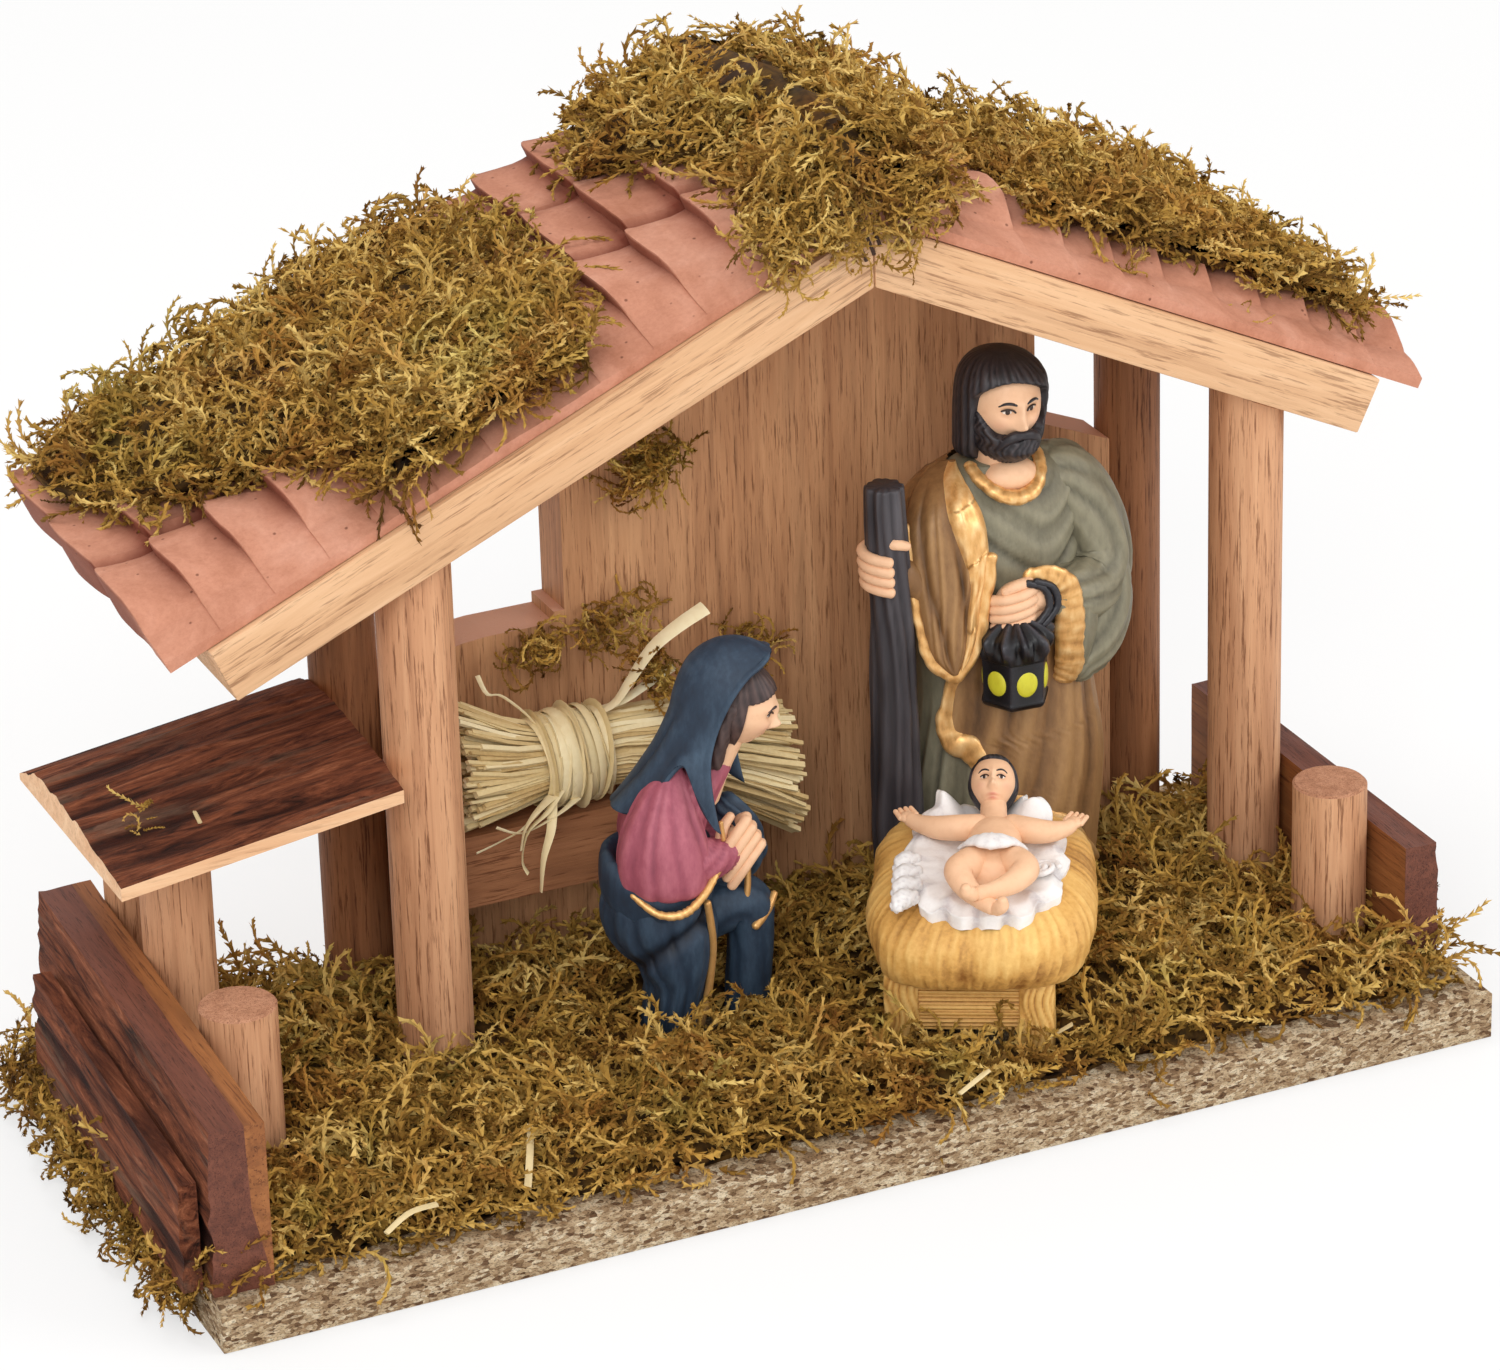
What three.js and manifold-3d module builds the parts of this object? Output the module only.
// A toy stable on a chipboard base: four dowel posts, a back wall, two roof boards with moulded
// barrel-tile plates, a lean-to of slab wood, bark fences, moss, a tied sheaf, and three painted castings.
// Millimetres, +Z up. The origin is the centre of the underside of the base; -Y is the open front.

import * as THREE from 'three';
import { mergeVertices } from 'three/addons/utils/BufferGeometryUtils.js';
import Module from 'manifold-3d';

const wasm = await Module();
wasm.setup();

// General fits
const seat = 0.3; // gap kept between pieces that rest on or beside each other
const nailFit = 0.3; // clearance round a nail shank

// Base
const baseLength = 280;
const baseDepth = 120;
const baseThick = 10;

// Posts
const frontPostDia = 15.6;
const backPostDia = 14.2;
const frontPostLeftX = -66.5;
const frontPostRightX = 120.5;
const frontPostY = 11.5;
const backPostLeftX = -68.6;
const backPostRightX = 112.3;
const backPostInset = 3.7; // from the back edge of the base to the post
const backPostY = baseDepth / 2 - backPostInset - backPostDia / 2;

// Roof boards
const ridgeX = 30.4;
const ridgeUnderside = 166.1; // height of the inner ridge line above the underside of the base
const slopeLeft = THREE.MathUtils.degToRad(23.6);
const slopeRight = THREE.MathUtils.degToRad(25.5);
const boardThick = 12.2;
const boardFrontLap = 3.2; // the boards stand this far in front of the front posts
const boardFrontY = frontPostY - frontPostDia / 2 - boardFrontLap;
const roofDepth = 90;
const boardLengthLeft = 151;
const boardLengthRight = 122.5;

// Barrel-tile plates
const tileCourse = 12.4; // exposed length of one tile down the slope
const tileRise = 2.6; // step at the lower end of each tile
const tileColumns = 3;
const tileCrest = 3.8; // height of a barrel over its valley
const tileBed = 4.6; // plate thickness at the valleys
const tileScallop = 2.4; // how far the middle of a tile end reaches past its corners
const flangeWidth = 9;
const flangeEdge = 2.4;
const plateFrontSetback = 1.6;
const plateBackLap = 2;
const eaveLapLeft = 8.5;
const eaveLapRight = 11;

// Back wall
const wallThick = 12;
const wallHighLeftX = -21.6;
const wallHighRightX = 87.3;
const wallShoulderLeft = 88; // height of the flat left shoulder
const wallShoulderRight = 111; // height of the right shoulder where it leaves the high part
const wallShoulderFall = THREE.MathUtils.degToRad(22.5);
const wallShoulderRound = 13;
const wallNotch = 2.4;

// Lean-to
const slabWidth = 60;
const slabHighZ = 78.2; // height of the sawn underside where the slab meets the stable
const slabPitch = THREE.MathUtils.degToRad(7.7);
const slabFrontY = -3;
const slabDeep = 62.4;
const slabEdge = 2.8; // sawn thickness along the front
const slabCrown = 6.4; // thickness at the crown of the bark
const slabBackEdge = 1.4;
const leanPostDia = 14.6;
const leanPostFrontX = -117.2;
const leanPostFrontY = 19.8;
const leanPostBackX = -116;
const leanPostBackY = 46.8;

// Fences and stubs
const stubDia = 15.6;
const stubHeight = 38.7;
const stubLeftX = -117.2;
const stubLeftY = -14;
const stubRightX = 120.5;
const stubRightY = -25.5;
const fenceHeight = 35;
const fenceThick = 12.2;
const fenceLength = 113;
const fenceLeftX = -131.5;
const fenceLeftY = 0.5;
const fenceLeftTurn = THREE.MathUtils.degToRad(-2.2);
const fenceRightThick = 8;
const fenceRightHeight = 28;
const fenceRightLength = 93;
const fenceRightX = 132.7;
const fenceRightY = 3.5;
const barkThick = 4;
const barkHeight = 23;
const barkLength = 97;

// Hay ledge, sheaf and its tie
const ledgeLength = 42;
const ledgeDeep = 20;
const ledgeHigh = 16;
const ledgeTop = 54;
const sheafWaistX = -29;
const sheafWaistZ = 66;
const sheafY = 26.5;
const sheafWaist = 7.6;
const sheafLeftReach = 27;
const sheafRightReach = 49;
const sheafRise = 3.8; // how far the headed end stands above the waist
const sheafDroop = 13; // how far the cut end hangs below the waist
const sheafFan = 15.6;
const sheafFlat = 0.86; // breadth of the sheaf over its height
const strandCount = 26;
const tieTurns = 5;
const tieDia = 2.4;
const tiePitch = 2.9;

// Moss
const mossHeight = 7.5;
const mossEdge = 2.4;
const mossFrontStrip = 8; // bare strip of base left along the front
const mossGap = 0.6; // clearance round everything that stands in the moss
const roofMossHeight = 8;

// Nails
const nailDia = 1.8;
const nailHeadDia = 5;
const nailHeadThick = 0.8;
const nailLength = 28;

// Castings
const standingX = 68;
const standingY = 22;
const standingTurn = 0;
const kneelingX = -16;
const kneelingY = -0.5;
const kneelingTurn = THREE.MathUtils.degToRad(-24);
const cribX = 40;
const cribY = -20.5;
const cribTurn = THREE.MathUtils.degToRad(-28);

// Finishes
const finish = (color, roughness = 0.8, metalness = 0) =>
  new THREE.MeshStandardMaterial({ color, roughness, metalness });
const chipboard = finish(0xc3a883, 0.95);
const dowelWood = finish(0xc79569, 0.75);
const darkWood = finish(0x8a5c3b, 0.75);
const paleWood = finish(0xe2bb8f, 0.7);
const wallWood = finish(0x92623f, 0.75);
const terracotta = finish(0xbd7f69, 0.85);
const bark = finish(0x5d382a, 0.9);
const mossGreen = finish(0x8c7a35, 1);
const strawPale = finish(0xd5c193, 0.8);
const steel = finish(0x9a9a9a, 0.4, 0.9);
const paintedRobe = finish(0x7d6a52, 0.5);
const paintedBlue = finish(0x33506f, 0.5);
const paintedStraw = finish(0xd3a14c, 0.5);
const paintedSkin = finish(0xebba92, 0.5);

const part = new THREE.Group();

// Geometry helpers

function indexed(points, triangles) {
  const geometry = new THREE.BufferGeometry();
  const flat = points.flatMap((p) => [p.x, p.y, p.z]);
  geometry.setAttribute('position', new THREE.Float32BufferAttribute(flat, 3));
  geometry.setIndex(triangles.flat());
  return geometry;
}

function toSolid(geometry) {
  const bare = geometry.clone();
  bare.deleteAttribute('normal');
  bare.deleteAttribute('uv');
  const merged = mergeVertices(bare, 1e-4);
  return new wasm.Manifold(
    new wasm.Mesh({
      numProp: 3,
      vertProperties: new Float32Array(merged.attributes.position.array),
      triVerts: new Uint32Array(merged.index.array),
    }),
  );
}

function fromSolid(solid) {
  const mesh = solid.getMesh();
  const geometry = new THREE.BufferGeometry();
  geometry.setAttribute('position', new THREE.BufferAttribute(new Float32Array(mesh.vertProperties), 3));
  geometry.setIndex(new THREE.BufferAttribute(new Uint32Array(mesh.triVerts), 1));
  return geometry;
}

const join = (...geometries) =>
  fromSolid(geometries.map(toSolid).reduce((whole, next) => whole.add(next)));

const cut = (geometry, ...cutters) =>
  fromSolid(cutters.map(toSolid).reduce((whole, next) => whole.subtract(next), toSolid(geometry)));

// A cut can leave crumbs; the piece is the largest body.
function largestBody(geometry) {
  const bodies = toSolid(geometry).decompose();
  bodies.sort((a, b) => b.volume() - a.volume());
  return fromSolid(bodies[0]);
}

// Joins rings of equal count into a closed skin. Rings run counter-clockwise seen from the far end.
function loft(rings) {
  const count = rings[0].length;
  const middle = (ring) =>
    ring.reduce((sum, p) => sum.add(p), new THREE.Vector3()).divideScalar(count);
  const points = [...rings.flat(), middle(rings[0]), middle(rings[rings.length - 1])];
  const start = points.length - 2;
  const end = points.length - 1;
  const last = (rings.length - 1) * count;
  const triangles = [];
  for (let j = 0; j < count; j++) {
    const k = (j + 1) % count;
    for (let i = 0; i < rings.length - 1; i++) {
      const a = i * count;
      const b = a + count;
      triangles.push([a + j, a + k, b + k], [a + j, b + k, b + j]);
    }
    triangles.push([start, k, j], [end, last + j, last + k]);
  }
  return indexed(points, triangles);
}

// An upright ring: an oval with an optional fold wave round it.
function oval(z, cx, cy, rx, ry, count = 24, fold = 0, folds = 9, phase = 0) {
  return Array.from({ length: count }, (_, i) => {
    const a = (i / count) * 2 * Math.PI;
    const wave = 1 + fold * Math.sin(folds * a + phase);
    return new THREE.Vector3(cx + rx * wave * Math.cos(a), cy + ry * wave * Math.sin(a), z);
  });
}

// A round limb through points, with a radius at each.
function limb(path, radii, count = 10, flat = 1) {
  const points = path.map((p) => new THREE.Vector3(...p));
  const rings = [];
  let side = null;
  points.forEach((p, i) => {
    const before = points[Math.max(i - 1, 0)];
    const after = points[Math.min(i + 1, points.length - 1)];
    const along = after.clone().sub(before).normalize();
    if (!side) {
      const axis = Math.abs(along.z) < 0.9 ? new THREE.Vector3(0, 0, 1) : new THREE.Vector3(1, 0, 0);
      side = axis.cross(along).normalize();
    }
    side.addScaledVector(along, -side.dot(along)).normalize();
    const up = along.clone().cross(side);
    rings.push(
      Array.from({ length: count }, (_, j) => {
        const a = (j / count) * 2 * Math.PI;
        return p
          .clone()
          .addScaledVector(side, radii[i] * Math.cos(a))
          .addScaledVector(up, radii[i] * flat * Math.sin(a));
      }),
    );
  });
  return loft(rings);
}

function ball(x, y, z, rx, ry, rz, wide = 14, high = 9) {
  const geometry = new THREE.SphereGeometry(1, wide, high);
  geometry.rotateX(Math.PI / 2);
  geometry.scale(rx, ry, rz);
  geometry.translate(x, y, z);
  return geometry;
}

function block(x0, x1, y0, y1, z0, z1) {
  const geometry = new THREE.BoxGeometry(x1 - x0, y1 - y0, z1 - z0);
  geometry.translate((x0 + x1) / 2, (y0 + y1) / 2, (z0 + z1) / 2);
  return geometry;
}

function uprightCylinder(x, y, z0, z1, radius, count = 20) {
  const geometry = new THREE.CylinderGeometry(radius, radius, z1 - z0, count);
  geometry.rotateX(Math.PI / 2);
  geometry.translate(x, y, (z0 + z1) / 2);
  return geometry;
}

// Extrudes an outline of [x, z] points from y0 to y1.
function extrudeAlongY(outline, y0, y1) {
  const shape = new THREE.Shape(outline.map(([x, z]) => new THREE.Vector2(x, z)));
  const geometry = new THREE.ExtrudeGeometry(shape, { depth: y1 - y0, bevelEnabled: false });
  geometry.rotateX(Math.PI / 2);
  geometry.translate(0, y1, 0);
  return geometry;
}

// Extrudes an outline of [y, z] points from x0 to x1.
function extrudeAlongX(outline, x0, x1) {
  const shape = new THREE.Shape(outline.map(([y, z]) => new THREE.Vector2(y, z)));
  const geometry = new THREE.ExtrudeGeometry(shape, { depth: x1 - x0, bevelEnabled: false });
  geometry.rotateX(Math.PI / 2);
  geometry.rotateZ(Math.PI / 2);
  geometry.translate(x0, 0, 0);
  return geometry;
}

function add(name, geometry, material, parent = part) {
  const mesh = new THREE.Mesh(geometry, material);
  mesh.name = name;
  parent.add(mesh);
  return mesh;
}

// Roof planes

const sides = {
  left: { sign: -1, slope: slopeLeft, board: boardLengthLeft, lap: eaveLapLeft },
  right: { sign: 1, slope: slopeRight, board: boardLengthRight, lap: eaveLapRight },
};
const roofSide = (x) => (x < ridgeX ? sides.left : sides.right);
const undersideAt = (x) => ridgeUnderside - Math.abs(x - ridgeX) * Math.tan(roofSide(x).slope);
const boardTopAt = (x) => undersideAt(x) + boardThick / Math.cos(roofSide(x).slope);

// A point by its distance down the slope from the ridge and its height over the boards.
function onRoof(side, down, y, high) {
  const top = ridgeUnderside + boardThick / Math.cos(side.slope);
  return new THREE.Vector3(
    ridgeX + side.sign * (down * Math.cos(side.slope) + high * Math.sin(side.slope)),
    y,
    top - down * Math.sin(side.slope) + high * Math.cos(side.slope),
  );
}

// Nails, driven from below through the base and from above through the roof boards

const nailRecess = seat;
const nailLean = 0.6; // share of a roof nail's sideways run that lies downhill of the post's axis
const nailHoles = [];

function nailBody(fit) {
  const shank = nailDia / 2 + fit;
  const head = nailHeadDia / 2 + fit;
  const headTop = nailHeadThick + fit;
  const tip = nailLength + fit;
  const below = fit > 0 ? -2 : 0;
  return [
    [0, below],
    [head, below],
    [head, headTop],
    [shank, headTop],
    [shank, tip - nailDia],
    [0, tip],
  ];
}

function nailGeometry(fit) {
  const profile = nailBody(fit).map(([r, z]) => new THREE.Vector2(r, z));
  const geometry = new THREE.LatheGeometry(profile, 12);
  geometry.rotateX(Math.PI / 2);
  return geometry;
}

function driveNail(name, place) {
  add(name, nailGeometry(0).applyMatrix4(place), steel);
  nailHoles.push(nailGeometry(nailFit).applyMatrix4(place));
}

const postNails = [
  ['front_left', frontPostLeftX, frontPostY],
  ['front_right', frontPostRightX, frontPostY],
  ['back_left', backPostLeftX, backPostY],
  ['back_right', backPostRightX, backPostY],
];
for (const [name, x, y] of postNails) {
  driveNail(`base_nail_${name}`, new THREE.Matrix4().makeTranslation(x, y, nailRecess));
}
for (const [name, postX, y] of postNails) {
  const side = roofSide(postX);
  const x = postX + side.sign * nailLean * nailLength * Math.sin(side.slope);
  const turn = new THREE.Matrix4().makeRotationY(side.sign * side.slope + Math.PI);
  const place = new THREE.Matrix4().makeTranslation(x, y, boardTopAt(x) - nailRecess);
  driveNail(`roof_nail_${name}`, place.multiply(turn));
}

// Posts, each cut at the top to the slope of the board on it

function slopedTopPost(x, y, dia, topAt, count = 20) {
  const geometry = uprightCylinder(x, y, baseThick, baseThick + 1, dia / 2, count);
  const position = geometry.attributes.position;
  for (let i = 0; i < position.count; i++) {
    if (position.getZ(i) > baseThick + 0.5) position.setZ(i, topAt(position.getX(i), position.getY(i)));
  }
  return geometry;
}

const underRoof = (x) => undersideAt(x) - seat;
const postPieces = [
  ['post_front_left', frontPostLeftX, frontPostY, frontPostDia, dowelWood],
  ['post_front_right', frontPostRightX, frontPostY, frontPostDia, dowelWood],
  ['post_back_left', backPostLeftX, backPostY, backPostDia, darkWood],
  ['post_back_right', backPostRightX, backPostY, backPostDia, darkWood],
];
for (const [name, x, y, dia, wood] of postPieces) {
  add(name, cut(slopedTopPost(x, y, dia, underRoof), ...nailHoles), wood);
}

// Roof boards, mitred on an upright plane at the ridge

for (const [name, side] of Object.entries(sides)) {
  const reach = side.board;
  const run = Math.cos(side.slope);
  const fall = Math.sin(side.slope);
  const start = ridgeX + (side.sign * seat) / 2;
  const outline = [
    [start, undersideAt(start)],
    [ridgeX + side.sign * reach * run, ridgeUnderside - reach * fall],
    [
      ridgeX + side.sign * (reach * run + boardThick * fall),
      ridgeUnderside - reach * fall + boardThick * run,
    ],
    [start, boardTopAt(start)],
  ];
  if (side.sign < 0) outline.reverse();
  const board = extrudeAlongY(outline, boardFrontY, boardFrontY + roofDepth);
  add(`roof_board_${name}`, cut(board, ...nailHoles), paleWood);
}

// Barrel-tile plates: overlapping courses, each rising to its lower end, on a sloping front flange

const plateFront = boardFrontY + plateFrontSetback;
const plateBack = boardFrontY + roofDepth + plateBackLap;
const columnWidth = (plateBack - plateFront - flangeWidth) / tileColumns;
const barrelSteps = 7;

// A barrel's section, from 0 in a valley to 1 on its crest, which lies nearer the back of the tile.
const crestShare = 0.68;
const crown = (s) =>
  s < crestShare
    ? Math.sin((Math.PI / 2) * (s / crestShare)) ** 0.8
    : Math.cos((Math.PI / 2) * ((s - crestShare) / (1 - crestShare))) ** 0.6;

// Stations across the plate: y, arch from 0 in a valley to 1 on a crest, and how much of the step shows.
const stations = [
  { y: plateFront, high: flangeEdge, arch: 0, step: 0.12 },
  { y: plateFront + flangeWidth * 0.45, high: flangeEdge + (tileBed - flangeEdge) * 0.6, arch: 0, step: 0.25 },
];
for (let column = 0; column < tileColumns; column++) {
  for (let i = 0; i <= barrelSteps; i++) {
    if (column > 0 && i === 0) continue;
    const arch = i === 0 || i === barrelSteps ? 0 : crown(i / barrelSteps);
    const y = plateFront + flangeWidth + (column + i / barrelSteps) * columnWidth;
    const step = column === 0 && i === 0 ? 0.55 : 1;
    stations.push({ y, high: tileBed + tileCrest * arch, arch, step });
  }
}

function tilePlate(side) {
  const length = side.board + boardThick * Math.tan(side.slope) + side.lap;
  const courses = Math.round(length / tileCourse);
  const pitch = length / courses;
  const count = stations.length;
  const rows = [];
  const row = (down, lift, scallop) =>
    stations.map((s) => {
      const high = s.high + lift * s.step;
      return onRoof(side, down - scallop * (1 - s.arch) * s.step, s.y, high);
    });
  for (let k = 0; k < courses; k++) {
    const isFirst = k === 0;
    rows.push(isFirst ? mitreRow(side, 0.4) : row(k * pitch, 0, tileScallop));
    rows.push(row((k + 1) * pitch, tileRise, tileScallop));
  }
  const lastRow = rows[rows.length - 1];
  const eave = stations.map((s) => onRoof(side, courses * pitch - tileScallop * (1 - s.arch) * s.step, s.y, seat));
  const points = [...rows.flat(), ...eave];
  const eaveStart = rows.length * count;
  const ridgeFront = points.push(mitrePoint(side, plateFront, seat)) - 1;
  const ridgeBack = points.push(mitrePoint(side, plateBack, seat)) - 1;
  const triangles = [];
  for (let i = 0; i < rows.length - 1; i++) {
    for (let j = 0; j < count - 1; j++) {
      const a = i * count + j;
      const b = a + count;
      triangles.push([a, b + 1, a + 1], [a, b, b + 1]);
    }
  }
  const lastStart = (rows.length - 1) * count;
  for (let j = 0; j < count - 1; j++) {
    const a = lastStart + j;
    const b = eaveStart + j;
    triangles.push([a, b + 1, a + 1], [a, b, b + 1]);
  }
  const firstColumn = rows.map((_, i) => i * count);
  const lastColumn = rows.map((_, i) => i * count + count - 1);
  const along = (index) => {
    const p = points[index];
    return new THREE.Vector2(p.x * side.sign, p.z);
  };
  const cover = (loop, plane, flip) => {
    const outline = loop.map(plane);
    const faces = THREE.ShapeUtils.triangulateShape(outline, []);
    const turning = faces.reduce((sum, f) => sum + THREE.ShapeUtils.area(f.map((i) => outline[i])), 0);
    for (const [a, b, c] of faces) {
      triangles.push(turning > 0 !== flip ? [loop[a], loop[b], loop[c]] : [loop[a], loop[c], loop[b]]);
    }
  };
  cover([...firstColumn, eaveStart, ridgeFront], along, false);
  cover([...lastColumn, eaveStart + count - 1, ridgeBack], along, true);
  const across = (index) => new THREE.Vector2(points[index].y, points[index].z);
  cover([...stations.map((_, j) => j), ridgeBack, ridgeFront], across, true);
  const under = (index) => new THREE.Vector2(points[index].y, points[index].x * side.sign);
  cover([...stations.map((_, j) => eaveStart + j), ridgeBack, ridgeFront], under, false);
  if (side.sign < 0) triangles.forEach((t) => t.reverse());
  return indexed(points, triangles);

  function mitreRow(plateSide, lift) {
    return stations.map((s) => mitrePoint(plateSide, s.y, s.high + lift));
  }
  function mitrePoint(plateSide, y, high) {
    const down = seat / 2 / Math.cos(plateSide.slope) - high * Math.tan(plateSide.slope);
    return onRoof(plateSide, down, y, high);
  }
}

for (const [name, side] of Object.entries(sides)) {
  add(`roof_tiles_${name}`, tilePlate(side), terracotta);
}

// Base

add('base_board', cut(block(-baseLength / 2, baseLength / 2, -baseDepth / 2, baseDepth / 2, 0, baseThick), ...nailHoles), chipboard);

// Back wall between the rear posts, with a high part under the roof and two low shoulders

const wallLeft = backPostLeftX + backPostDia / 2 + seat;
const wallRight = backPostRightX - backPostDia / 2 - seat;
const wallFront = backPostY - wallThick / 2;
const wallOuterRight = wallShoulderRight - (wallRight - wallHighRightX) * Math.tan(wallShoulderFall);
const wallOutline = [
  [wallLeft, baseThick],
  [wallRight, baseThick],
  [wallRight, wallOuterRight],
  [wallHighRightX, wallShoulderRight],
  [wallHighRightX, underRoof(wallHighRightX)],
  [ridgeX, ridgeUnderside - seat],
  [wallHighLeftX, underRoof(wallHighLeftX)],
  [wallHighLeftX, wallShoulderLeft + wallNotch],
  [wallHighLeftX - wallNotch, wallShoulderLeft + wallNotch],
  [wallHighLeftX - wallNotch, wallShoulderLeft],
];
for (let i = 0; i <= 4; i++) {
  const a = (i / 4) * 0.6;
  wallOutline.push([
    wallLeft + wallShoulderRound * 1.7 * (1 - i / 4),
    wallShoulderLeft - wallShoulderRound * (1 - Math.cos(a * 1.8)),
  ]);
}
add('back_wall', extrudeAlongY(wallOutline, wallFront, wallFront + wallThick), wallWood);

// Lean-to: a slab cut from the side of a log, sawn flat below and along the front, bark above

const slabHighX = backPostLeftX - backPostDia / 2 - seat - 0.1;
const slabUnderside = (x) => slabHighZ - (slabHighX - x) * Math.tan(slabPitch);
const slabProfile = [0, 0.12, 0.26, 0.4, 0.54, 0.68, 0.8, 0.91, 1];
function barkHigh(t, x) {
  const crown = slabEdge + (slabCrown - slabEdge) * Math.sin(Math.min(t / 0.68, 1) * 1.5708);
  const fall = t > 0.68 ? ((t - 0.68) / 0.32) ** 2 * (slabCrown - slabBackEdge) : 0;
  const grain = t > 0.05 && t < 0.97 ? 0.35 * Math.sin(31 * t) + 0.25 * Math.sin(0.21 * x + 17 * t) : 0;
  return crown - fall + grain;
}
function slabGeometry() {
  const rings = [];
  const across = slabWidth * Math.cos(slabPitch);
  for (let i = 0; i <= 6; i++) {
    const x = slabHighX - across * (1 - i / 6);
    const bottom = slabUnderside(x);
    const ring = [
      new THREE.Vector3(x, slabFrontY, bottom),
      new THREE.Vector3(x, slabFrontY + slabDeep, bottom),
    ];
    for (const t of [...slabProfile].reverse()) {
      ring.push(new THREE.Vector3(x, slabFrontY + slabDeep * t, bottom + barkHigh(t, x)));
    }
    rings.push(ring);
  }
  return loft(rings);
}
add('lean_to_slab', slabGeometry(), bark);

const underSlab = (x) => slabUnderside(x) - seat;
const leanPosts = [
  ['lean_to_post_front', leanPostFrontX, leanPostFrontY],
  ['lean_to_post_back', leanPostBackX, leanPostBackY],
];
for (const [name, x, y] of leanPosts) {
  add(name, slopedTopPost(x, y, leanPostDia, underSlab), dowelWood);
}

// Fences: bark-faced offcuts stood on edge beside the base's ends, each backed by a short stub

function offcutPlank(length, thick, high, bulge, ripple, steps = 8) {
  const rings = [];
  for (let i = 0; i <= steps; i++) {
    const y = length * (i / steps - 0.5);
    const wave = ripple * Math.sin(0.11 * y + thick);
    const lip = ripple * Math.sin(0.17 * y + 1);
    const outline = [
      [thick / 2, 0],
      [-thick * 0.36, 0],
      [-thick / 2 + wave * 0.3, high * 0.25],
      [-thick / 2 - bulge + wave * 0.5, high * 0.55],
      [-thick / 2 + wave * 0.4, high * 0.86],
      [-thick * 0.4, high + lip * 0.4],
      [thick * 0.22, high + lip],
      [thick / 2, high + lip * 0.7],
    ];
    rings.push(outline.map(([x, z]) => new THREE.Vector3(x, y, z)));
  }
  return loft(rings);
}

const fenceLeft = offcutPlank(fenceLength, fenceThick, fenceHeight, 0, 0.6);
fenceLeft.rotateZ(fenceLeftTurn);
fenceLeft.translate(fenceLeftX, fenceLeftY, baseThick);
add('fence_plank_left', fenceLeft, bark);

const barkOffset = -fenceThick / 2 - barkThick / 2 - 0.9;
const barkStrip = offcutPlank(barkLength, barkThick, barkHeight, 0, 0.4);
barkStrip.translate(barkOffset, -4, 0);
barkStrip.rotateZ(fenceLeftTurn);
barkStrip.translate(fenceLeftX, fenceLeftY, baseThick);
add('fence_bark_strip_left', barkStrip, bark);

const fenceRight = offcutPlank(fenceRightLength, fenceRightThick, fenceRightHeight, 0, 0.5);
fenceRight.rotateZ(Math.PI);
fenceRight.translate(fenceRightX, fenceRightY, baseThick);
add('fence_plank_right', fenceRight, bark);

const stubPieces = [
  ['fence_stub_left', stubLeftX, stubLeftY],
  ['fence_stub_right', stubRightX, stubRightY],
];
for (const [name, x, y] of stubPieces) {
  add(name, uprightCylinder(x, y, baseThick, baseThick + stubHeight, stubDia / 2), dowelWood);
}

// Hay ledge fixed to the face of the wall

const ledgeLeft = wallLeft + seat;
const ledgeBack = wallFront - seat;
const ledge = block(ledgeLeft, ledgeLeft + ledgeLength, ledgeBack - ledgeDeep, ledgeBack, ledgeTop - ledgeHigh, ledgeTop);
add('hay_ledge', ledge, wallWood);

// Sheaf of straw lying on the ledge, headed end to the left, cut end drooping to the right

const tieHalf = (tieTurns * tiePitch) / 2 + tieDia / 2;
const sheafReach = (x) => {
  const away = Math.max(Math.abs(x - sheafWaistX) - tieHalf, 0);
  return away / ((x < sheafWaistX ? sheafLeftReach : sheafRightReach) - tieHalf);
};
const sheafAxisZ = (x) =>
  sheafWaistZ + (x < sheafWaistX ? sheafRise * sheafReach(x) ** 1.3 : -sheafDroop * sheafReach(x) ** 1.5);

function sheafRing(t) {
  const x = sheafWaistX + (t < 0 ? t * sheafLeftReach : t * sheafRightReach);
  const reach = sheafReach(x);
  const radius = sheafWaist + (sheafFan - sheafWaist) * reach ** (t < 0 ? 0.9 : 1.1);
  const ridge = 0.02 + 0.1 * reach;
  const ends = reach > 0.99 ? 1 : 0;
  return Array.from({ length: strandCount * 2 }, (_, i) => {
    const a = (i / (strandCount * 2)) * 2 * Math.PI;
    const r = radius * (i % 2 ? 1 - ridge : 1);
    const ragged = ends * 1.5 * Math.sin(2.7 * i + 1);
    return new THREE.Vector3(x + ragged, sheafY + r * sheafFlat * Math.cos(a), sheafAxisZ(x) + r * Math.sin(a));
  });
}
const sheafStations = [-1, -0.8, -0.55, -tieHalf / sheafLeftReach, tieHalf / sheafRightReach, 0.36, 0.55, 0.78, 1];
add('straw_sheaf', loft(sheafStations.map(sheafRing)), strawPale);

// Raffia tie: one strip wound round the waist, knotted in front, with hanging ends and one long tail

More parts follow.
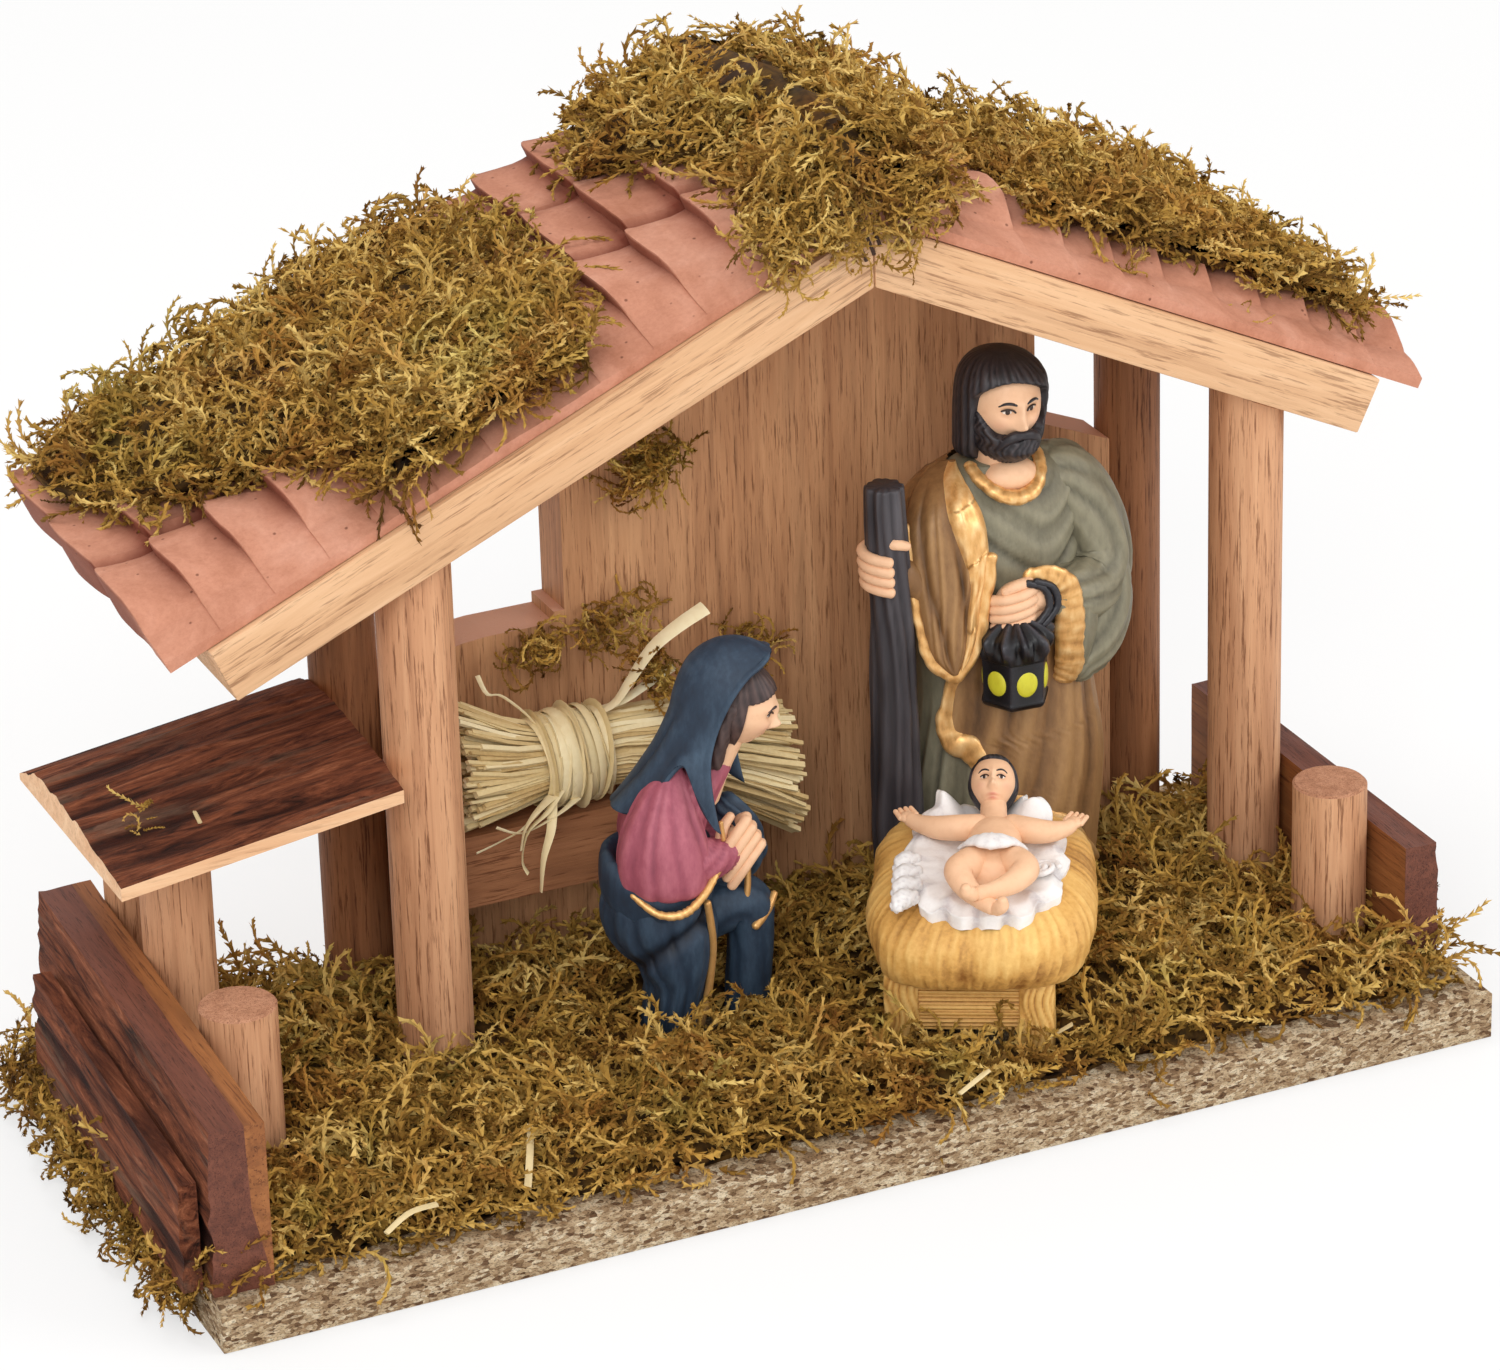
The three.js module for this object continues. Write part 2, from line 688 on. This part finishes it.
function tieGeometry() {
  const steps = 20;
  const radius = sheafWaist + tieDia / 2 + seat * 2;
  const startAngle = Math.PI + 0.5;
  const wound = [];
  for (let i = 0; i <= (tieTurns + 0.3) * steps; i++) {
    const turn = i / steps;
    const a = startAngle - turn * 2 * Math.PI;
    wound.push([
      sheafWaistX + (turn - tieTurns / 2) * tiePitch,
      sheafY + (radius * sheafFlat + 0.5) * Math.cos(a),
      sheafWaistZ + radius * Math.sin(a),
    ]);
  }
  const coil = limb(wound, wound.map(() => tieDia / 2), 6);
  const [x, y, z] = wound[0];
  const [tx, ty, tz] = wound[wound.length - 1];
  const knot = ball(x - 0.6, y - 1.6, z - 0.8, 2.6, 2.2, 2.4, 8, 6);
  const from = [x - 1, y - 1.8, z - 1];
  const hangingEnds = [
    limb([from, [x - 3, y - 4, z - 5], [x - 5, y - 5, z - 11], [x - 5.6, y - 5.4, z - 18]], [1.1, 1.1, 0.9, 0.6], 6),
    limb([from, [x - 5, y - 3, z - 1.5], [x - 8, y - 4.4, z - 4], [x - 9, y - 4.6, z - 8]], [1.1, 1, 0.9, 0.6], 6),
    limb([from, [x - 7, y - 1.8, z - 4.6], [x - 13, y - 2.4, z - 6.4], [x - 18, y - 2.6, z - 7.6]], [1.1, 0.9, 0.8, 0.6], 6),
  ];
  const tail = limb(
    [[tx, ty, tz], [tx + 2.6, ty - 1, tz + 1.8], [tx + 6, ty - 1, tz + 6], [tx + 11, ty - 0.5, tz + 11.5], [tx + 17, ty, tz + 15], [tx + 24, ty + 1, tz + 17.5]],
    [1.1, 1.2, 1.4, 1.5, 1.5, 1.2],
    6,
  );
  return join(coil, knot, ...hangingEnds, tail);
}
add('raffia_tie', tieGeometry(), strawPale);

// Castings. Each is one solid piece, built about its own foot and then turned and placed.

const floorCut = block(-60, 60, -60, 60, -5, 0);

function placeCasting(geometry, x, y, turn) {
  geometry.rotateZ(turn);
  geometry.translate(x, y, baseThick);
  return geometry;
}

function standingFigure() {
  const robe = loft([
    oval(0, -1, 0.5, 18.5, 12, 30, 0.05, 8),
    oval(9, -1, 0, 20, 13, 30, 0.045, 8, 0.4),
    oval(24, -0.6, 0, 21, 13.4, 30, 0.04, 8, 0.8),
    oval(38, 0.2, 0.2, 21, 13, 30, 0.035, 8, 1),
    oval(54, 0, 1, 19, 12.4, 30, 0.03, 8, 1.2),
    oval(68, -0.8, 1.5, 19.5, 12, 30, 0.02, 8, 1.4),
    oval(84, -1.4, 2, 20.5, 11.8, 30, 0.015, 8, 1.4),
    oval(95, -0.4, 2.4, 20, 10.5, 30, 0.01, 8),
    oval(101, 0.3, 2.4, 16.2, 8.4, 30),
    oval(104.5, 0.6, 2, 9.2, 6.6, 30),
  ]);
  const neck = limb([[0.5, 1.5, 100], [1, -0.4, 112]], [6.2, 5.4], 12);
  const collar = limb([[-6.6, -2.8, 103.6], [-4.4, -6.6, 100.6], [1, -8.4, 99.4], [6.4, -6.4, 101], [8.2, -2.6, 104]], [1.5, 1.6, 1.6, 1.6, 1.5], 6);
  const skull = ball(1, 0.4, 117.6, 7.3, 7.8, 9.2, 16, 12);
  const jaw = ball(1.2, -4.6, 110.9, 5.2, 4.2, 5.4, 12, 9);
  const nose = limb([[1.2, -7.1, 119.3], [1.2, -9.1, 115.8], [1.2, -7.2, 114.9]], [0.8, 1.25, 1], 6);
  const hair = loft([
    oval(104.6, 1, 3.6, 5.5, 4.5, 16, 0.04, 5),
    oval(107, 1, 3.2, 8.6, 6.2, 16, 0.03, 5),
    oval(112, 1, 2.8, 9.8, 7, 16, 0.03, 5),
    oval(119, 1, 2.2, 9.9, 7.8, 16, 0.02, 5),
    oval(124, 1, 1, 9.2, 8.8, 16),
    oval(127.4, 1, 0.8, 6.6, 6.6, 16),
    oval(129, 1, 0.8, 2.8, 2.8, 16),
  ]);
  const rightArm = limb([[13, 2, 98], [20.5, 1, 88], [23, -2, 76], [14, -8.5, 75], [3, -13, 76.6]], [6.6, 7.4, 6.6, 6, 4.4], 12);
  const rightSleeve = limb([[21.5, -2.5, 78], [18.5, -5, 66], [14.2, -7, 57], [11.8, -8, 53.6]], [6.2, 6.4, 5, 2.6], 10);
  const leftArm = limb([[-12, 2, 98], [-19, 0, 86], [-19.5, -4, 76], [-24, -6, 83], [-29.5, -7, 88]], [6.4, 6.4, 5.4, 4, 3.2], 12);
  const leftSleeve = limb([[-19, -4, 79], [-17.6, -8.6, 70], [-15.6, -10.4, 62], [-14.6, -10.6, 58.6]], [5.8, 5.6, 4.2, 2], 10);
  const leftHand = ball(-31, -7.4, 89, 4, 4, 5, 10, 7);
  const rightHand = ball(-3.6, -14, 77.4, 4.2, 3.6, 3.6, 10, 7);
  const staff = limb([[-26.8, -5.4, 0], [-27, -5.6, 18], [-27.8, -6, 50], [-28, -6.4, 76], [-29.2, -6.6, 100], [-29.4, -6.6, 106]], [5.4, 5.2, 4.6, 4.2, 4, 3.4], 12);
  const lantern = loft([
    oval(56, -4, -14.4, 5.8, 5.8, 8),
    oval(58, -4, -14.4, 7.2, 7.2, 8),
    oval(68, -4, -14.4, 7.6, 7.6, 8),
    oval(70.5, -4, -14.4, 8, 8, 8),
    oval(73.6, -4, -14.4, 7, 7, 8),
    oval(75.6, -4, -14.4, 3, 3, 8),
  ]);
  const handle = limb([[-1.5, -15.4, 73], [3.4, -16, 77.5], [2.2, -15.4, 81.4], [-1.8, -14.8, 80]], [0.9, 0.9, 0.9, 0.9], 6);
  const hem = limb([[-19.4, -7.5, 60], [-19.2, -9, 50], [-13.6, -12.4, 44.6], [-7.2, -13.6, 35], [0, -14, 27.6], [6, -13.4, 22], [14, -10.4, 16]], [1.4, 1.6, 1.8, 2, 2, 1.9, 1.6], 6, 0.8);
  return join(robe, neck, collar, skull, jaw, nose, hair, rightArm, rightSleeve, leftArm, leftSleeve, leftHand, rightHand, staff, lantern, handle, hem);
}

// Built with local X the way the figure faces
function kneelingFigure() {
  const body = loft([
    oval(0, -4, -1, 5.8, 8, 28, 0.04, 7),
    oval(8, -3.6, -1, 6.6, 8.8, 28, 0.04, 7, 0.5),
    oval(17, -3, -0.6, 9, 10, 28, 0.035, 7, 1),
    oval(26, -4.2, 0, 11.2, 11.4, 28, 0.03, 7, 1.2),
    oval(31.6, -4.4, 0, 11.4, 11.8, 28, 0.02, 7),
    oval(33, -5.6, 0, 11.6, 12.6, 28),
    oval(38.6, -6.4, 0, 10.8, 12.6, 28),
    oval(40.4, -5, 0, 9, 11, 28),
    oval(48, -3.6, 0, 8.4, 9.6, 28),
    oval(54, -2.2, 0, 7.8, 9.4, 28),
    oval(58, 0.2, 0, 6.2, 7.6, 28),
    oval(63, 3.2, 0, 5.2, 6, 28),
    oval(66, 4.8, 0, 4.2, 4.8, 28),
  ]);
  const hood = limb([[-1.4, 0, 55.4], [3.4, 0, 61.5], [8.4, 0, 68.6], [12, 0, 76], [13.2, 0, 82], [13.6, 0, 86], [13.6, 0, 88]], [7.4, 6.8, 6.7, 7.2, 6.9, 4.4, 1.4], 16, 0.92);
  const face = ball(14.6, 0, 75.4, 5.4, 5.3, 7.6, 14, 10);
  const chin = ball(15.8, 0, 69.6, 2.8, 2.9, 2.4, 10, 7);
  const nose = limb([[19.2, 0, 77.6], [20.6, 0, 74.6], [19, 0, 73.8]], [0.5, 0.9, 0.7], 6);
  const sleeves = [-1, 1].flatMap((hand) => [
    limb([[-3, hand * 6, 56], [-4.4, hand * 7.6, 50], [-4, hand * 8, 44.5]], [4.6, 7.4, 6.2], 12),
    limb([[-1.5, hand * 8, 46.5], [5, hand * 6.4, 43.5], [10.6, hand * 2.4, 42]], [5.6, 4.6, 3.4], 10),
  ]);
  const hands = limb([[11, 0, 36.6], [12.4, 0, 42], [14, 0, 48]], [2.6, 3.4, 1.6], 10);
  const cape = loft([
    oval(49, -4.4, 0, 8.8, 11, 24),
    oval(52, -4.2, 0, 8.6, 10.9, 24, 0.02, 6),
    oval(58.4, -1, 0, 6.8, 8.4, 24),
    oval(61, 1, 0, 5.4, 6.8, 24),
  ]);
  const farLeg = limb([[-3, 4.6, 24], [6, 6, 27.6], [12.8, 6.6, 27.4], [13.4, 6.6, 18], [12.2, 6.6, 0]], [7.2, 6.4, 5.2, 4.4, 4.6], 12);
  return join(body, hood, face, chin, nose, ...sleeves, hands, cape, farLeg);
}

// Built with local X across the crib and local Y towards the head
function cribWithInfant() {
  const legs = [[-14.3, -14.6], [13.2, -15.6], [-14, 15], [14, 15]].map(([x, y]) => block(x - 3.5, x + 3.5, y - 3.5, y + 3.5, 0, 21));
  const rails = [
    block(-12, 11, -17.2, -13, 6.5, 20),
    block(-12, 12, 13, 17, 6.5, 20),
    block(-16.6, -12.6, -12, 13, 6.5, 20),
    block(11.6, 15.6, -13, 13, 6.5, 20),
  ];
  const tilt = (ring, rise) => ring.map((p) => new THREE.Vector3(p.x, p.y, p.z + rise * p.y));
  const mound = loft([
    tilt(oval(17, 1, -0.5, 15.5, 17, 36), 0.03),
    tilt(oval(19.4, 1.4, -1, 20.6, 22, 36, 0.02, 12), 0.06),
    tilt(oval(24.5, 1.8, -1.4, 23.2, 24.8, 36, 0.025, 12), 0.1),
    tilt(oval(30.5, 2.2, -1.2, 23.6, 25.2, 36, 0.03, 12), 0.12),
    tilt(oval(35, 2.6, -0.8, 20.8, 22.6, 36, 0.025, 12), 0.13),
    tilt(oval(37.6, 2.8, 0, 15, 16.4, 36), 0.13),
  ]);
  const cloth = loft([
    tilt(oval(35.6, 2.8, -1.6, 13.5, 16, 32), 0.13),
    tilt(oval(37.2, 2.8, -2.6, 17.6, 21, 32, 0.05, 8), 0.13),
    tilt(oval(39, 2.8, -2.6, 17, 20.4, 32, 0.05, 8), 0.13),
    tilt(oval(39.4, 2.8, -1, 11, 14, 32), 0.13),
  ]);
  const corners = [
    limb([[-4, 6, 38.5], [-9, 13, 41.5], [-11.6, 17.4, 45]], [5, 4.4, 1.8], 8),
    limb([[9, 5, 38.5], [13.4, 9.6, 41.5], [16, 12.6, 45]], [5, 4.4, 1.8], 8),
  ];
  const torso = limb([[4.6, 3.6, 42.6], [4.6, -3, 42.6], [4.2, -13, 41]], [4.4, 5.8, 6], 12, 0.8);
  const head = ball(4, 11.4, 44.2, 5.5, 6.6, 4.9, 14, 10);
  const infantNose = ball(4, 11.6, 49, 0.8, 1.1, 0.9, 6, 5);
  const arms = [
    limb([[1.4, 1, 43.2], [-6.4, 1.4, 42.2], [-14.6, 5.6, 41.6]], [2.9, 2.4, 1.7], 8),
    limb([[7.8, 1, 43.2], [14, -0.8, 42.4], [20.4, 2, 41.4]], [2.9, 2.4, 1.7], 8),
  ];
  const shins = [
    limb([[1.4, -13, 40.6], [-3.8, -20.4, 41.4], [4.4, -26.6, 37.4]], [3.8, 3.1, 1.9], 8),
    limb([[7.4, -13, 40.6], [11.8, -18.6, 41.4], [3.6, -24.4, 38.6]], [3.8, 3.1, 1.9], 8),
  ];
  return join(mound, ...legs, ...rails, cloth, ...corners, torso, head, infantNose, ...arms, ...shins);
}

add('standing_figure', placeCasting(cut(standingFigure(), floorCut), standingX, standingY, standingTurn), paintedRobe);
add('kneeling_figure', placeCasting(cut(kneelingFigure(), floorCut), kneelingX, kneelingY, kneelingTurn), paintedBlue);
add('crib_with_infant', placeCasting(cribWithInfant(), cribX, cribY, cribTurn), paintedStraw);

// Moss: shallow lumpy beds on the base, cut away round everything that stands in them

const ripple = (x, y) =>
  0.45 * Math.sin(0.31 * x + 1.3 * Math.sin(0.12 * y)) + 0.35 * Math.sin(0.27 * y + 0.9 * Math.sin(0.16 * x)) + 0.2 * Math.sin(0.7 * x + 0.55 * y);

// A closed pad on a grid. place(u, v, high) puts a grid point at a height over the surface under it.
function lumpyPad(columns, rows, edge, high, place) {
  const width = columns + 1;
  const top = [];
  const bottom = [];
  for (let j = 0; j <= rows; j++) {
    for (let i = 0; i <= columns; i++) {
      const u = i / columns;
      const v = j / rows;
      const rim = Math.min(u, 1 - u, v, 1 - v) * Math.min(columns, rows);
      const foot = place(u, v, 0);
      const lift = edge + (high - edge) * Math.min(rim / 1.6, 1) * (1 + 0.32 * ripple(foot.x, foot.y));
      top.push(place(u, v, lift));
      bottom.push(foot);
    }
  }
  const count = top.length;
  const triangles = [];
  for (let j = 0; j < rows; j++) {
    for (let i = 0; i < columns; i++) {
      const a = j * width + i;
      const b = a + width;
      triangles.push([a, a + 1, b + 1], [a, b + 1, b]);
      triangles.push([count + a, count + b + 1, count + a + 1], [count + a, count + b, count + b + 1]);
    }
  }
  const rimLoop = [];
  for (let i = 0; i < columns; i++) rimLoop.push(i);
  for (let j = 0; j < rows; j++) rimLoop.push(j * width + columns);
  for (let i = columns; i > 0; i--) rimLoop.push(rows * width + i);
  for (let j = rows; j > 0; j--) rimLoop.push(j * width);
  rimLoop.forEach((a, k) => {
    const b = rimLoop[(k + 1) % rimLoop.length];
    triangles.push([a, count + a, count + b], [a, count + b, b]);
  });
  return indexed([...top, ...bottom], triangles);
}

const mossTop = baseThick + 3 * mossHeight;
const pillar = (x, y, radius) => uprightCylinder(x, y, baseThick - 1, mossTop, radius + mossGap, 16);
const hollow = (outline, x, y, turn) => {
  const low = outline.map(([u, v]) => new THREE.Vector3(u, v, -1));
  const up = outline.map(([u, v]) => new THREE.Vector3(u, v, mossTop - baseThick));
  return placeCasting(loft([low, up]), x, y, turn);
};
const ovalOutline = (cx, cy, rx, ry, count = 16) =>
  oval(0, cx, cy, rx, ry, count).map((p) => [p.x, p.y]);
const mossCutters = [
  pillar(frontPostLeftX, frontPostY, frontPostDia / 2),
  pillar(frontPostRightX, frontPostY, frontPostDia / 2),
  pillar(backPostLeftX, backPostY, backPostDia / 2),
  pillar(backPostRightX, backPostY, backPostDia / 2),
  pillar(leanPostFrontX, leanPostFrontY, leanPostDia / 2),
  pillar(leanPostBackX, leanPostBackY, leanPostDia / 2),
  pillar(stubLeftX, stubLeftY, stubDia / 2),
  pillar(stubRightX, stubRightY, stubDia / 2),
  hollow(ovalOutline(-0.8, 0, 22.6, 15.4, 20), standingX, standingY, standingTurn),
  hollow(ovalOutline(-26.8, -5.4, 7, 7, 12), standingX, standingY, standingTurn),
  hollow(ovalOutline(-2, 0, 11, 12, 18), kneelingX, kneelingY, kneelingTurn),
  hollow(ovalOutline(12.2, 6.6, 6, 6, 12), kneelingX, kneelingY, kneelingTurn),
  hollow([[-19, -19.6], [17.6, -20.4], [18.6, 19.4], [-18.6, 19.4]], cribX, cribY, cribTurn),
];

function mossBed(x0, x1, y0, y1, columns, rows) {
  const bed = lumpyPad(columns, rows, mossEdge, mossHeight, (u, v, high) => {
    const x = x0 + (x1 - x0) * u;
    const y = y0 + (y1 - y0) * v;
    const inX = (0.5 - u) * 2 * 1.1 * (1 + Math.sin(0.33 * y + u));
    const inY = (0.5 - v) * 2 * 1.3 * (1 + Math.sin(0.24 * x + v));
    return new THREE.Vector3(x + inX, y + inY, baseThick + high);
  });
  return largestBody(cut(bed, ...mossCutters));
}

const bedFront = -baseDepth / 2 + mossFrontStrip;
const bedBack = wallFront - mossGap;
const bedLeft = -123.4;
const bedRight = fenceRightX - fenceRightThick / 2 - mossGap;
const bedMiddle = 6;
const bedBay = slabHighX - mossGap;
add('moss_bed_left', mossBed(bedLeft, bedBay, bedFront, baseDepth / 2 - 1, 7, 14), mossGreen);
add('moss_bed_centre', mossBed(bedBay + seat, bedMiddle, bedFront, bedBack, 10, 12), mossGreen);
add('moss_bed_right', mossBed(bedMiddle + seat, bedRight, bedFront, bedBack, 15, 12), mossGreen);

// Roof moss, lying on the crests of the tiles

const crestHigh = tileBed + tileCrest + tileRise + seat;
const between = (table, y) => {
  const k = Math.max(table.findIndex(([at]) => y <= at), 1);
  const [y0, v0] = table[k - 1];
  const [y1, v1] = table[k];
  return v0 + ((v1 - v0) * (y - y0)) / (y1 - y0);
};

// A patch that crosses the ridge has its middle column on the ridge line.
const across = (from, to, u) => {
  if (from < 0 && to > 0) return u < 0.5 ? from * (1 - 2 * u) : to * (2 * u - 1);
  return from + (to - from) * u;
};

function roofMoss(upper, lower, y0, y1, columns, rows) {
  return lumpyPad(columns, rows, mossEdge, roofMossHeight, (u, v, high) => {
    const y = y0 + (y1 - y0) * v;
    const down = across(between(upper, y), between(lower, y), u);
    const side = down < 0 ? sides.left : sides.right;
    return onRoof(side, Math.abs(down) - (crestHigh + high) * Math.tan(side.slope) * Math.max(0, 1 - Math.abs(down) / 10), y, crestHigh + high);
  });
}

const mossLeftUpper = [[0, -103], [16, -112], [34, -122], [42, -142], [58, -155], [70, -160], [84, -160], [92, -152]];
const mossLeftLower = [[0, -67], [23, -60], [47, -55], [69, -57], [87, -65], [92, -70]];
add('roof_moss_left', roofMoss(mossLeftUpper, mossLeftLower, 3.5, 90, 9, 9), mossGreen);
const mossRidgeLeft = [[0, -20], [20, -11], [45, -14], [66, -34], [80, -26], [92, -18]];
const mossRidgeRight = [[0, 10], [20, 18], [40, 27], [92, 34]];
add('roof_moss_ridge', roofMoss(mossRidgeLeft, mossRidgeRight, 2.5, 90, 6, 12), mossGreen);
const mossRightUpper = [[0, 46], [40, 45], [92, 56]];
const mossRightLower = [[0, 121], [34, 130], [60, 126], [92, 112]];
add('roof_moss_right', roofMoss(mossRightUpper, mossRightLower, 17, 90, 9, 8), mossGreen);

export default part;
